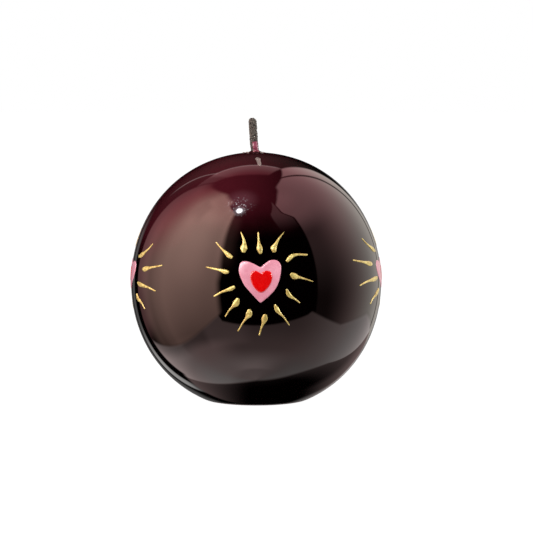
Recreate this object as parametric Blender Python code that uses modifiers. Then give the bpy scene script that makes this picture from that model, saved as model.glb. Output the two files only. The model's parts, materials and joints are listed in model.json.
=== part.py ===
"""Ball candle with a braided cotton wick and four painted heart motifs.

A pressed white paraffin ball is dipped in burgundy wax and lacquered, and its
base is planed flat so that it stands. The wick runs through a bore in the core
and is held at the base by a tinplate sustainer. Each motif is a pink heart with
a smaller red heart on it, inside a ring of thirteen raised gold paint strokes.

Metres, +Z up. The origin is the centre of the flat base, and the front motif
faces -Y.
"""
import math

import bmesh
import bpy
from mathutils import Vector

MM = 0.001

# ---------------------------------------------------------------- dimensions
BALL_RADIUS = 0.0400        # nominal radius: an 80 mm ball candle
# The pressed ball is a little flattened on top. Its polar radius is
# BALL_RADIUS times a short cosine series in the angle from the top.
BALL_FORM = (1.0193, -0.0338, 0.0157, 0.0011, -0.0044)
CENTRE_HEIGHT = 0.03902     # centre of that series above the planed base
CROWN_HEIGHT = CENTRE_HEIGHT + BALL_RADIUS * sum(BALL_FORM)

GAP = 0.0003                # clearance between neighbouring solids
LATHE_STEPS = 40
PROFILE_STEPS = 22
BISECTION_STEPS = 60
MERGE_DISTANCE = 0.00001
SHARP_ANGLE = math.radians(40)

SHELL_THICK = 0.0020        # burgundy over-dip
SHELL_HOLE_RADIUS = 0.00185 # hole in the dip, round the leaning wick
COLLAR_HEIGHT = 0.00055     # wax drawn up round the wick
COLLAR_WIDTH = 0.0024       # how far that collar runs out over the ball
COLLAR_STEPS = 4
COLLAR_LIP = 0.0001         # bevel at the collar's inner edge
BASE_EDGE = 0.0005          # the planed edge's small round
# The round's points: outward and upward from the planed edge, over BASE_EDGE
BASE_EDGE_FORM = ((0.6, 1.0), (0.2, 0.3), (-0.5, 0.0))

WICK_RADIUS = 0.00120
WICK_EXPOSED = 0.0114       # length above the top of the ball
WICK_LEAN = -0.00115        # sideways offset of the tip, along X
WICK_LEAN_POWER = 0.9       # shapes how quickly the lean sets in
WICK_LEAN_STEPS = 8
WICK_BEND_DEPTH = 0.0012    # the lean starts this far below the crown
WICK_STRAIGHT_HEIGHTS = (0.0004, 0.03, 0.06)
WICK_SHOULDER_DROP = 0.0004 # the rounding of the tip starts this far below it
WICK_SHOULDER_SCALE = 0.92  # radius there, as a share of the wick's
WICK_TIP_SCALE = 0.55       # and at the tip

BORE_RADIUS = WICK_RADIUS + 0.00035
BORE_TOP_FLARE = 0.0006     # width and depth of the chamfer at the bore's top
BORE_TOP_CHAMFER = 0.0003
BORE_FOOT_CONE = 0.0006     # height of the cone from the neck's recess to the bore

SUSTAINER_RADIUS = 0.0075
SUSTAINER_SHEET = 0.0003
SUSTAINER_Z = 0.0003        # recessed this far above the base plane
NECK_RADIUS = 0.0018
NECK_TOP = 0.0045
NECK_FILLET = 0.0004        # bevel where the neck meets the disc
NECK_MOUTH_EXTRA = 0.0001   # the opening below is this much wider than the neck

# --------------------------------------------------------------------- paint
PAINT_GAP = 0.0002          # clearance under each layer of paint
PINK_THICK = 0.0003
RED_THICK = 0.0003
WRAP_RADIUS = 0.0404        # flat motif layouts are wrapped at this radius

HEART_STEPS = 28
HEART_CURVE_HEIGHT = 28.9   # height of the unscaled heart curve
HEART_CURVE_MIDDLE = -2.55  # level midway between its lobes' tops and its tip
HEART_HUB_RISE = 0.08       # the rings shrink to this share of the height above middle
# Rings of a heart pad, over the edge and under: share of the outline, share of
# the thickness
HEART_RINGS = ((0.50, 0.96), (0.84, 0.84), (1.00, 0.42), (0.985, 0.0), (0.50, 0.0))

# Pink heart, then red heart: half width, height, and how far it sits to the
# right of the middle. The side hearts are broader and lower, and their red
# hearts sit towards the back.
HEARTS = ((0.00652, 0.01310, 0.0), (0.00335, 0.00660, 0.00028))
RIGHT_HEARTS = ((0.00790, 0.00880, 0.0), (0.00270, 0.00450, 0.00200))
LEFT_HEARTS = ((0.00790, 0.00880, 0.0), (0.00270, 0.00450, -0.00200))

STROKE_THICK = 0.0005       # height of a stroke at its bulb
STROKE_TAIL_THICK = 0.00028
STROKE_START_SHARE = 0.7    # the first station is lowered to this share
STROKE_TIP_LIFT = 0.0001    # height of the two end points
BOW_SHARE = 0.9             # peak of the bow, as a share of the tabled one
BOW_RATE = 1.1              # the bow is back to nothing at 1 / BOW_RATE of the length
# A stroke's width along its length: a round bulb, a quick waist, a thin tail.
# Share of the length, share of the bulb width
STROKE_FORM = ((0.035, 0.58), (0.10, 0.90), (0.19, 1.00), (0.32, 0.66),
               (0.48, 0.42), (0.72, 0.29), (0.96, 0.19))
# Its half-round section: share of the half width, share of the height
STROKE_SECTION = ((-1.0, 0.0), (-0.78, 0.66), (0.0, 1.0), (0.78, 0.66), (1.0, 0.0))

TIE_RADIUS = 0.0120         # the band that ties the back strokes into one solid
TIE_HALF_WIDTH = 0.00035
TIE_LOW = 0.00026
TIE_HIGH = 0.00042
TIE_STEPS = 48

# One row per gold stroke, clockwise from the top left. In millimetres, on the
# motif's own flat layout, measured right and up from the heart's middle:
#   right and up of the bulb end, right and up of the tail end, bulb width,
#   sideways bow (positive to the right, looking from bulb to tail)
STROKES = (
    (-5.06, 9.25, -5.72, 15.12, 2.30, 0.50),
    (0.14, 8.83, -0.49, 15.14, 1.87, 0.00),
    (4.42, 9.26, 7.40, 15.16, 1.90, -0.55),
    (8.48, 6.26, 14.81, 7.82, 1.45, -1.00),
    (9.68, 1.93, 16.71, -0.40, 2.06, 0.00),
    (8.23, -2.73, 12.20, -6.69, 1.45, 0.60),
    (4.53, -7.39, 8.80, -13.54, 1.50, 0.20),
    (1.41, -10.59, -0.19, -16.63, 2.06, 0.00),
    (-3.34, -9.03, -6.56, -15.35, 2.12, -0.30),
    (-6.92, -5.60, -10.53, -10.83, 2.12, 0.00),
    (-8.06, -1.82, -14.12, -4.70, 1.40, 0.00),
    (-9.96, 2.78, -16.85, 4.04, 1.50, 0.00),
    (-8.82, 7.36, -13.64, 11.79, 1.57, 0.25),
)
# The side motifs' rings: four strokes reach round to the front and are longer,
# and the other nine close up round the back of the heart. Same columns, also
# clockwise; the right ring starts just right of the top.
RIGHT_STROKES = (
    (4.00, 8.90, 4.80, 14.60, 1.90, 0.00),
    (6.90, 8.20, 9.90, 13.40, 1.90, -0.20),
    (9.60, 6.60, 14.20, 10.50, 1.70, -0.20),
    (11.10, 4.10, 17.30, 6.30, 1.60, 0.00),
    (11.50, 0.60, 18.20, 0.90, 1.80, 0.00),
    (10.60, -3.00, 16.80, -5.00, 1.50, 0.20),
    (9.10, -6.10, 13.80, -10.20, 1.60, 0.20),
    (6.70, -8.20, 9.60, -13.80, 2.00, 0.00),
    (3.90, -9.50, 4.50, -15.60, 2.00, 0.00),
    (-6.41, -4.58, -13.77, -8.46, 1.90, -0.40),
    (-7.75, -0.75, -21.30, -2.04, 1.60, 0.30),
    (-12.08, 4.10, -23.30, 6.06, 1.70, 0.20),
    (-5.90, 7.97, -14.15, 12.50, 1.70, 0.40),
)
LEFT_STROKES = (
    (-9.60, 6.60, -14.20, 10.50, 1.70, 0.20),
    (-6.90, 8.20, -9.90, 13.40, 1.90, 0.20),
    (-4.00, 8.90, -4.80, 14.60, 1.90, 0.00),
    (9.60, 6.40, 17.10, 10.86, 1.70, -0.30),
    (14.60, 2.54, 25.10, 4.58, 1.80, 0.00),
    (11.20, -2.10, 22.80, -3.67, 1.60, 0.30),
    (9.75, -5.90, 15.15, -9.87, 1.70, 0.30),
    (-3.90, -9.50, -4.50, -15.60, 2.00, 0.00),
    (-6.70, -8.20, -9.60, -13.80, 2.00, 0.00),
    (-9.10, -6.10, -13.80, -10.20, 1.90, -0.20),
    (-10.50, -3.20, -16.80, -5.00, 1.50, 0.20),
    (-11.50, 0.50, -18.20, 0.80, 1.80, 0.00),
    (-11.00, 4.10, -17.10, 6.40, 1.60, 0.00),
)
# Side, latitude and longitude of the heart's centre in degrees (longitude 0 is
# the front, positive to the object's +X side), its strokes, and its hearts
MOTIFS = (
    ("front", 3.6, 1.8, STROKES, HEARTS),
    ("right", 2.6, 84.0, RIGHT_STROKES, RIGHT_HEARTS),
    ("left", 2.2, -84.0, LEFT_STROKES, LEFT_HEARTS),
    ("back", 3.2, 180.0, STROKES, HEARTS),
)

# ------------------------------------------------------------------ finishes
WHITE_WAX = dict(colour=(0.86, 0.83, 0.76), roughness=0.55)
LACQUERED_WAX = dict(colour=(0.035, 0.004, 0.008), roughness=0.08, coat=1.0)
TINPLATE = dict(colour=(0.62, 0.62, 0.60), roughness=0.35, metallic=1.0)
COTTON = dict(colour=(0.30, 0.26, 0.21), roughness=0.9)
PINK_PAINT = dict(colour=(0.78, 0.27, 0.37), roughness=0.25, coat=0.5)
RED_PAINT = dict(colour=(0.62, 0.004, 0.004), roughness=0.25, coat=0.5)
GOLD_PAINT = dict(colour=(0.62, 0.42, 0.10), roughness=0.3, metallic=0.8)

# The two heart layers: colour name, height of the underside, thickness, finish
HEART_LAYERS = (
    ("pink", PAINT_GAP, PINK_THICK, PINK_PAINT),
    ("red", PAINT_GAP + PINK_THICK + PAINT_GAP, RED_THICK, RED_PAINT),
)


def make_material(name, colour, roughness, metallic=0.0, coat=0.0):
    material = bpy.data.materials.new(name)
    material.use_nodes = True
    shader = material.node_tree.nodes["Principled BSDF"]
    shader.inputs["Base Color"].default_value = (*colour, 1.0)
    shader.inputs["Roughness"].default_value = roughness
    shader.inputs["Metallic"].default_value = metallic
    shader.inputs["Coat Weight"].default_value = coat
    material.diffuse_color = (*colour, 1.0)
    return material


# ---------------------------------------------------------- the ball's surface
def ball_radius(polar):
    """Outer radius of the ball at an angle from its top."""
    return BALL_RADIUS * sum(term * math.cos(i * polar)
                             for i, term in enumerate(BALL_FORM))


def profile_point(polar, inset):
    """Distance from the axis and height of a point `inset` below the surface."""
    radius = ball_radius(polar) - inset
    return radius * math.sin(polar), CENTRE_HEIGHT + radius * math.cos(polar)


def surface_run(inset, polar_from, polar_to):
    """Profile points on the inset surface between two angles."""
    return [profile_point(polar_from + (polar_to - polar_from) * i / PROFILE_STEPS, inset)
            for i in range(PROFILE_STEPS + 1)]


def bisect_polar(low, high, falls_short):
    """The angle between low and high where falls_short turns false."""
    for _ in range(BISECTION_STEPS):
        middle = (low + high) / 2
        if falls_short(middle):
            low = middle
        else:
            high = middle
    return (low + high) / 2


def polar_at_base(inset):
    """Angle from the top at which the inset surface meets the base plane."""
    return bisect_polar(math.pi / 2, math.pi,
                        lambda polar: profile_point(polar, inset)[1] > 0.0)


def polar_at_offset(offset, inset):
    """Angle at which the inset surface's upper half is `offset` from the axis."""
    return bisect_polar(0.0, math.pi / 2,
                        lambda polar: profile_point(polar, inset)[0] < offset)


def wrap(place, right, up, lift):
    """A point of a flat motif layout, wrapped on the ball and lifted off it."""
    centre_latitude, centre_longitude = place
    latitude = centre_latitude + up / WRAP_RADIUS
    longitude = centre_longitude + right / (WRAP_RADIUS * math.cos(latitude))
    radius = ball_radius(math.pi / 2 - latitude) + lift
    return Vector((radius * math.cos(latitude) * math.sin(longitude),
                   -radius * math.cos(latitude) * math.cos(longitude),
                   CENTRE_HEIGHT + radius * math.sin(latitude)))


# ------------------------------------------------------------ object builders
def link_object(name, data, collection):
    obj = bpy.data.objects.new(name, data)
    collection.objects.link(obj)
    return obj


def turned(name, loop, finish):
    """A closed profile, outer side running down, turned about Z by Screw."""
    mesh = bpy.data.meshes.new(name)
    mesh.from_pydata([(radius, 0.0, z) for radius, z in loop],
                     [(i, (i + 1) % len(loop)) for i in range(len(loop))], [])
    mesh.materials.append(make_material(name, **finish))
    obj = link_object(name, mesh, PARTS)
    screw = obj.modifiers.new("turn", "SCREW")
    screw.axis = "Z"
    screw.angle = 2 * math.pi
    screw.steps = LATHE_STEPS
    screw.render_steps = LATHE_STEPS
    screw.use_merge_vertices = True
    screw.merge_threshold = MERGE_DISTANCE
    screw.use_smooth_shade = True


def bake(name, mesh):
    """Turn a bmesh into mesh data with its normals facing out."""
    bmesh.ops.recalc_face_normals(mesh, faces=mesh.faces)
    data = bpy.data.meshes.new(name)
    mesh.to_mesh(data)
    mesh.free()
    return data


def paint_object(name, mesh, finish):
    """A smooth-shaded object from a bmesh of paint."""
    data = bake(name, mesh)
    data.materials.append(make_material(name, **finish))
    data.shade_smooth()
    data.set_sharp_from_angle(angle=SHARP_ANGLE)
    return link_object(name, data, PARTS)


# ---------------------------------------------------------- wax, wick and foot
def white_wax_core():
    """Pressed paraffin ball with the wick's bore and the sustainer's recess."""
    inset = SHELL_THICK + GAP
    top = polar_at_offset(BORE_RADIUS + BORE_TOP_FLARE, inset)
    recess_radius = SUSTAINER_RADIUS + GAP
    recess_z = SUSTAINER_Z + SUSTAINER_SHEET + GAP
    neck_recess_radius = NECK_RADIUS + GAP
    neck_recess_z = NECK_TOP + GAP
    loop = [(BORE_RADIUS, CROWN_HEIGHT - inset - BORE_TOP_CHAMFER)]
    loop += surface_run(inset, top, polar_at_base(inset))
    loop += [(recess_radius, 0.0),
             (recess_radius, recess_z),
             (neck_recess_radius, recess_z),
             (neck_recess_radius, neck_recess_z),
             (BORE_RADIUS, neck_recess_z + BORE_FOOT_CONE)]
    turned("white_wax_core", loop, WHITE_WAX)


def burgundy_wax_shell():
    """Dipped outer layer: open round the wick and over the planed base."""
    loop = []
    for i in range(COLLAR_STEPS):
        share = i / COLLAR_STEPS
        offset = SHELL_HOLE_RADIUS + COLLAR_LIP + COLLAR_WIDTH * share
        radius, z = profile_point(polar_at_offset(offset, 0.0), 0.0)
        loop.append((radius, z + COLLAR_HEIGHT * (1 - share) ** 3))

    collar_end = polar_at_offset(SHELL_HOLE_RADIUS + COLLAR_WIDTH, 0.0)
    loop += surface_run(0.0, collar_end, polar_at_base(0.0))
    edge_radius, edge_z = loop.pop()     # the sharp edge gives way to the round
    loop += [(edge_radius + BASE_EDGE * outward, edge_z + BASE_EDGE * upward)
             for outward, upward in BASE_EDGE_FORM]

    inner_top = polar_at_offset(SHELL_HOLE_RADIUS, SHELL_THICK)
    loop += reversed(surface_run(SHELL_THICK, inner_top, polar_at_base(SHELL_THICK)))
    loop.append((SHELL_HOLE_RADIUS, CROWN_HEIGHT + COLLAR_HEIGHT - COLLAR_LIP))
    turned("burgundy_wax_shell", loop, LACQUERED_WAX)


def wick_sustainer():
    """Pressed tinplate foot: a disc with a neck crimped round the wick."""
    inner = NECK_RADIUS - SUSTAINER_SHEET
    low = SUSTAINER_Z
    high = SUSTAINER_Z + SUSTAINER_SHEET
    loop = [(inner, NECK_TOP),
            (NECK_RADIUS, NECK_TOP),
            (NECK_RADIUS, high + NECK_FILLET),
            (NECK_RADIUS + NECK_FILLET, high),
            (SUSTAINER_RADIUS, high),
            (SUSTAINER_RADIUS, low),
            (NECK_RADIUS + NECK_MOUTH_EXTRA, low),
            (inner, low + NECK_FILLET)]
    turned("wick_sustainer", loop, TINPLATE)


def wick_stations():
    """Stations up the wick: x, z, share of the wick's radius."""
    tip = CROWN_HEIGHT + WICK_EXPOSED
    bend = CROWN_HEIGHT - WICK_BEND_DEPTH
    stations = [(0.0, z, 1.0) for z in WICK_STRAIGHT_HEIGHTS]
    for i in range(WICK_LEAN_STEPS):
        share = i / WICK_LEAN_STEPS
        x = WICK_LEAN * math.sin(share * math.pi / 2) ** WICK_LEAN_POWER
        stations.append((x, bend + (tip - bend) * share, 1.0))
    stations.append((WICK_LEAN, tip - WICK_SHOULDER_DROP, WICK_SHOULDER_SCALE))
    stations.append((WICK_LEAN, tip, WICK_TIP_SCALE))
    return stations


def cotton_wick():
    """Round cord, straight in its bore and leaning above the ball."""
    curve = bpy.data.curves.new("cotton_wick", "CURVE")
    curve.dimensions = "3D"
    curve.bevel_depth = WICK_RADIUS
    curve.bevel_resolution = 2
    curve.use_fill_caps = True
    stations = wick_stations()
    spline = curve.splines.new("POLY")
    spline.points.add(len(stations) - 1)
    for point, (x, z, scale) in zip(spline.points, stations):
        point.co = (x, 0.0, z, 1.0)
        point.radius = scale
    curve.materials.append(make_material("cotton_wick", **COTTON))
    obj = link_object("cotton_wick", curve, PARTS)
    weld = obj.modifiers.new("weld caps", "WELD")
    weld.merge_threshold = MERGE_DISTANCE


# -------------------------------------------------------------------- hearts
def heart_outline(half_width, height):
    """Points of a heart, centred between its lobes' tops and its tip."""
    points = []
    for i in range(HEART_STEPS):
        angle = 2 * math.pi * (i + 0.5) / HEART_STEPS
        x = math.sin(angle) ** 3
        y = (13 * math.cos(angle) - 5 * math.cos(2 * angle)
             - 2 * math.cos(3 * angle) - math.cos(4 * angle))
        points.append((half_width * x,
                       height * (y - HEART_CURVE_MIDDLE) / HEART_CURVE_HEIGHT))
    return points


def paint_heart(name, place, size, low, thick, finish):
    """A domed pad of paint with a heart outline, wrapped on the ball."""
    half_width, height, shift = size
    hub = height * HEART_HUB_RISE
    outline = heart_outline(half_width, height)
    mesh = bmesh.new()

    def add_vertex(x, y, lift):
        return mesh.verts.new(wrap(place, x + shift, y, lift))

    top = add_vertex(0.0, hub, low + thick)
    bottom = add_vertex(0.0, hub, low)
    rings = [[add_vertex(x * scale, hub + (y - hub) * scale, low + thick * rise)
              for x, y in outline]
             for scale, rise in HEART_RINGS]
    for i in range(HEART_STEPS):
        j = (i + 1) % HEART_STEPS
        mesh.faces.new((top, rings[0][i], rings[0][j]))
        for upper, lower in zip(rings, rings[1:]):
            mesh.faces.new((upper[i], lower[i], lower[j], upper[j]))
        mesh.faces.new((bottom, rings[-1][j], rings[-1][i]))
    paint_object(name, mesh, finish)


# -------------------------------------------------------------- gold strokes
def stroke_loft(mesh, place, row):
    """Loft one brush stroke into a bmesh: a half-round bead, bulb to tail."""
    bulb_x, bulb_y, tail_x, tail_y, width, bow = (value * MM for value in row)
    length = math.hypot(tail_x - bulb_x, tail_y - bulb_y)
    along_x = (tail_x - bulb_x) / length
    along_y = (tail_y - bulb_y) / length

    def add_vertex(share, side, lift):
        """`side` is measured to the left, looking from bulb to tail."""
        bend = -bow * math.sin(math.pi * min(1.0, share * BOW_RATE)) * BOW_SHARE
        sweep = bend + side
        return mesh.verts.new(wrap(
            place,
            bulb_x + along_x * length * share - along_y * sweep,
            bulb_y + along_y * length * share + along_x * sweep,
            PAINT_GAP + lift))

    sections = []
    for share, fullness in STROKE_FORM:
        half = width * fullness / 2
        rise = STROKE_TAIL_THICK + (STROKE_THICK - STROKE_TAIL_THICK) * fullness
        if not sections:
            rise *= STROKE_START_SHARE
        sections.append([add_vertex(share, half * side, rise * lift)
                         for side, lift in STROKE_SECTION])
    start = add_vertex(0.0, 0.0, STROKE_TIP_LIFT)
    end = add_vertex(1.0, 0.0, STROKE_TIP_LIFT)

    sides = len(STROKE_SECTION)
    for one, two in zip(sections, sections[1:]):
        for i in range(sides):
            j = (i + 1) % sides
            mesh.faces.new((one[i], one[j], two[j], two[i]))
    for i in range(sides):
        j = (i + 1) % sides
        mesh.faces.new((start, sections[0][j], sections[0][i]))
        mesh.faces.new((end, sections[-1][i], sections[-1][j]))


def gold_strokes(name, place, rows):
    """One object holding a stroke for each row."""
    mesh = bmesh.new()
    for row in rows:
        stroke_loft(mesh, place, row)
    return paint_object(name, mesh, GOLD_PAINT)


def tie_band(name, place):
    """Mesh of a thin band on the ball that crosses every stroke of a motif."""
    corners = ((-TIE_HALF_WIDTH, TIE_LOW), (TIE_HALF_WIDTH, TIE_LOW),
               (TIE_HALF_WIDTH, TIE_HIGH), (-TIE_HALF_WIDTH, TIE_HIGH))
    mesh = bmesh.new()
    sections = []
    for i in range(TIE_STEPS):
        angle = 2 * math.pi * i / TIE_STEPS
        sections.append([
            mesh.verts.new(wrap(place, (TIE_RADIUS + offset) * math.cos(angle),
                                (TIE_RADIUS + offset) * math.sin(angle), lift))
            for offset, lift in corners])
    for i in range(TIE_STEPS):
        one = sections[i]
        two = sections[(i + 1) % TIE_STEPS]
        for k in range(4):
            j = (k + 1) % 4
            mesh.faces.new((one[k], one[j], two[j], two[k]))
    return bake(name, mesh)


def tied_strokes(name, place, rows):
    """All of a motif's strokes as one solid, joined by the band through them."""
    obj = gold_strokes(name, place, rows)
    band_name = name + "_band"
    band = link_object(band_name, tie_band(band_name, place), CUTTERS)
    band.hide_render = True
    band.display_type = "WIRE"
    union = obj.modifiers.new("tie", "BOOLEAN")
    union.operation = "UNION"
    union.solver = "EXACT"
    union.object = band


def motif(side, place, rows, hearts):
    """The two hearts and the ring of gold strokes on one side of the ball."""
    for size, (layer, low, thick, finish) in zip(hearts, HEART_LAYERS):
        paint_heart(f"{layer}_heart_{side}", place, size, low, thick, finish)
    if side == "back":
        tied_strokes("gold_strokes_back", place, rows)
    else:
        for number, row in enumerate(rows, start=1):
            gold_strokes(f"gold_stroke_{side}_{number:02d}", place, [row])


# --------------------------------------------------------------------- build
for old in list(bpy.data.objects):
    bpy.data.objects.remove(old, do_unlink=True)

PARTS = bpy.data.collections.new("ball_candle")
CUTTERS = bpy.data.collections.new("cutters")
bpy.context.scene.collection.children.link(PARTS)
bpy.context.scene.collection.children.link(CUTTERS)

white_wax_core()
burgundy_wax_shell()
wick_sustainer()
cotton_wick()

for side, latitude, longitude, rows, hearts in MOTIFS:
    motif(side, (math.radians(latitude), math.radians(longitude)), rows, hearts)
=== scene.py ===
"""Ball candle: a wine-red lacquered wax ball with a heart motif painted on each of
four sides, a braided wick, and a small product studio round it. Metres, +Z up: the
ball stands on z = 0, centred on the Z axis, with its front motif facing -Y."""
import json
import math

import bmesh
import bpy
import numpy as np
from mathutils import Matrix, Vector, noise

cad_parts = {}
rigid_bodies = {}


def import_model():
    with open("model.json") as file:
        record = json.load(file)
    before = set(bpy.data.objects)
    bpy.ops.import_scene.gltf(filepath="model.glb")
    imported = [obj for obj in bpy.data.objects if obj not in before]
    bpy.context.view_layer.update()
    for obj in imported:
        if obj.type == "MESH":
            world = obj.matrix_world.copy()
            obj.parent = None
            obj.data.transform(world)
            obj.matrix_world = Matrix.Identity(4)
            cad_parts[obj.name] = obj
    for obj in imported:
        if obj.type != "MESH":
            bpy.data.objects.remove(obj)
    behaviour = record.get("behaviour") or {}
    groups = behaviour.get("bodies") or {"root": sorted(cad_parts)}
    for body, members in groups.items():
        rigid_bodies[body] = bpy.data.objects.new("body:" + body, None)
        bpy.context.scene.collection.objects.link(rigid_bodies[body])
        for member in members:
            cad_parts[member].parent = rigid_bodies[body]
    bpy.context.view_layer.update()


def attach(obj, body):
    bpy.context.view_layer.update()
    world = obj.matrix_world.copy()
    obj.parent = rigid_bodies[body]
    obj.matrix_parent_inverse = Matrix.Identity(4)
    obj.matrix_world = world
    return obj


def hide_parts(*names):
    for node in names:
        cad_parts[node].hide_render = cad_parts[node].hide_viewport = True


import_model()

# ------------------------------------------------------------ the ball's form
MM = 0.001
BALL_RADIUS = 0.0400
FORM = (1.0193, -0.0338, 0.0157, 0.0011, -0.0044)   # cosine series, by polar angle
BALL_MID_Z = 0.03902
WRAP_RADIUS = 0.0404        # radius at which flat motif millimetres become angles
SHELL_THICK = 0.0020
CROWN_SHIFT = 0.00027       # how far the wax round the wick is pulled to -X


def ball_radius(polar):
    return BALL_RADIUS * sum(c * math.cos(i * polar) for i, c in enumerate(FORM))


CROWN = BALL_MID_Z + ball_radius(0.0)
WICK_TIP = CROWN + 0.0110


def around(radius, angle, z=0.0):
    """A point at an angle round the Z axis: 0 at -Y, positive towards +X."""
    return Vector((radius * math.sin(angle), -radius * math.cos(angle), z))


def wrap(motif, across, up, lift):
    """Millimetres on a motif's flat layout to a point above the ball."""
    lat = motif[0] + up * MM / WRAP_RADIUS
    lon = motif[1] + across * MM / (WRAP_RADIUS * math.cos(lat))
    radius = ball_radius(math.pi / 2 - lat) + lift * MM
    return around(radius * math.cos(lat), lon, BALL_MID_Z + radius * math.sin(lat))


def profile_point(polar, inset=0.0):
    """Radius from the axis and height of the ball's section, moved inwards."""
    radius = ball_radius(polar) - inset
    return radius * math.sin(polar), BALL_MID_Z + radius * math.cos(polar)


def base_polar(inset=0.0):
    """Polar angle at which the inset section meets z = 0, by bisection."""
    low, high = math.pi / 2, math.pi
    for _ in range(60):
        mid = (low + high) / 2
        if profile_point(mid, inset)[1] > 0:
            low = mid
        else:
            high = mid
    return (low + high) / 2


def smooth(share):
    share = min(1.0, max(0.0, share))
    return share * share * (3 - 2 * share)


# ------------------------------------------------------- node-graph shorthand
class Term:
    """A socket in a node tree that can be added, multiplied and so on."""

    def __init__(self, tree, socket):
        self.tree, self.socket = tree, socket

    def op(self, kind, *others):
        node = self.tree.nodes.new("ShaderNodeMath")
        node.operation = kind
        for slot, value in enumerate((self,) + others):
            put(self.tree, node.inputs[slot], value)
        return Term(self.tree, node.outputs[0])

    def __add__(self, other): return self.op("ADD", other)
    def __radd__(self, other): return self.op("ADD", other)
    def __mul__(self, other): return self.op("MULTIPLY", other)
    def __rmul__(self, other): return self.op("MULTIPLY", other)
    def __sub__(self, other): return self.op("SUBTRACT", other)
    def __rsub__(self, other): return (self * -1.0) + other
    def __truediv__(self, other): return self.op("DIVIDE", other)
    def __neg__(self): return self * -1.0


def put(tree, socket, value):
    """Link or set an input, filling a short colour up with ones."""
    if isinstance(value, Term):
        tree.links.new(value.socket, socket)
    elif isinstance(value, bpy.types.NodeSocket):
        tree.links.new(value, socket)
    elif isinstance(value, (tuple, list)):
        count = len(socket.default_value)
        socket.default_value = tuple(value) + (1.0,) * (count - len(value))
    else:
        socket.default_value = value


def fill(tree, node, values):
    for name, value in values.items():
        put(tree, node.inputs[name], value)


def step(value, start, end):
    """Smooth step from 0 at start to 1 at end; start may be the larger."""
    node = value.tree.nodes.new("ShaderNodeMapRange")
    node.interpolation_type = "SMOOTHSTEP"
    fill(value.tree, node, {"Value": value, "From Min": start, "From Max": end})
    return Term(value.tree, node.outputs["Result"])


def larger(term, other):
    return term.op("MAXIMUM", other)


def mix_colour(tree, factor, first, second):
    node = tree.nodes.new("ShaderNodeMix")
    node.data_type = "RGBA"
    # inputs 6 and 7 are the colour pair
    for slot, value in ((0, factor), (6, first), (7, second)):
        put(tree, node.inputs[slot], value)
    return node.outputs[2]


def tint(tree, amount, colour):
    """A colour times an amount."""
    node = tree.nodes.new("ShaderNodeVectorMath")
    node.operation = "SCALE"
    node.inputs[0].default_value = colour
    put(tree, node.inputs["Scale"], amount)
    return node.outputs[0]


def add_colours(tree, total, *colours):
    for colour in colours:
        node = tree.nodes.new("ShaderNodeVectorMath")
        node.operation = "ADD"
        put(tree, node.inputs[0], total)
        put(tree, node.inputs[1], colour)
        total = node.outputs[0]
    return total


def noise_of(tree, coords, scale, detail=3.0, rough=0.5, distort=0.0, squash=None):
    if squash:
        mapping = tree.nodes.new("ShaderNodeMapping")
        fill(tree, mapping, {"Vector": coords, "Scale": squash})
        coords = mapping.outputs[0]
    node = tree.nodes.new("ShaderNodeTexNoise")
    fill(tree, node, {"Vector": coords, "Scale": scale, "Detail": detail,
                      "Roughness": rough, "Distortion": distort})
    return Term(tree, node.outputs["Fac"])


def bump_of(tree, height, strength, distance):
    node = tree.nodes.new("ShaderNodeBump")
    fill(tree, node, {"Height": height, "Strength": strength, "Distance": distance})
    return node.outputs[0]


def new_material(name):
    material = bpy.data.materials.new(name)
    material.use_nodes = True
    tree = material.node_tree
    shader = tree.nodes["Principled BSDF"]
    coords = tree.nodes.new("ShaderNodeTexCoord").outputs["Object"]
    return material, tree, shader, coords


def split(tree, vector):
    """The x, y and z of a vector socket."""
    node = tree.nodes.new("ShaderNodeSeparateXYZ")
    put(tree, node.inputs[0], vector)
    return [Term(tree, node.outputs[i]) for i in range(3)]


# ------------------------------------------------- what the lacquer reflects
# Directions are in degrees: turn is 0 at the front and positive to +X,
# back_turn is the same from the back, and rise is up. Each step(value, start,
# end) is a soft edge between two angles; other numbers are brightness, or
# coefficients of curved edges.
def left_box(turn, rise):
    """Soft box on the left: brightest high up and towards the front. Returns its
    brightness and its lower edge."""
    from_middle = turn + 88
    top = 70 - 15 * step(turn, -88, -140)
    foot = -38 + 0.0060 * from_middle * from_middle
    # brighter upwards to a limit, fading to the back
    level = 0.35 + 0.056 * (larger(rise + 25, -8) - larger(rise - 52, 0))
    level *= step(turn, -142, -80)
    # dimmer front edge, then a general lift
    level *= 1 - 0.27 * step(turn, -66, -42)
    level += 1.40 * step(turn, -136, -95)
    # dimmer patches: rear, top front, and a small one in the middle
    level *= 1 - 0.30 * step(turn, -86, -106) * step(rise, 5, 42)
    level *= 1 - 0.36 * step(rise, 47, 69) * step(turn, -45, -62)
    level *= (1 - 0.24 * step(turn, -72, -84) * step(turn, -102, -90)
              * step(rise, 38, 50) * step(rise, 60, 55))
    # darker low at the rear, lighter at mid height in front
    level -= 0.28 * step(turn, -122, -112) * step(turn, -92, -102) * step(rise, 30, 18)
    level = larger(level, 0)
    level += (0.45 * step(turn, -88, -70) * step(turn, -38, -55)
              * step(rise, -8, 16) * step(rise, 44, 30))
    # front, rear, top and bottom edges
    level *= step(turn + 0.05 * rise + 2 * step(rise, 12, 2) + 20 * step(rise, 60, 67),
                  -29.5, -37)
    level *= step(turn + 0.09 * (40 - rise), -137, -132)
    level *= step(rise - top, 2.5, -2.5)
    level *= step(rise - foot, -1.8, 1.8)
    return level, foot


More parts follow.
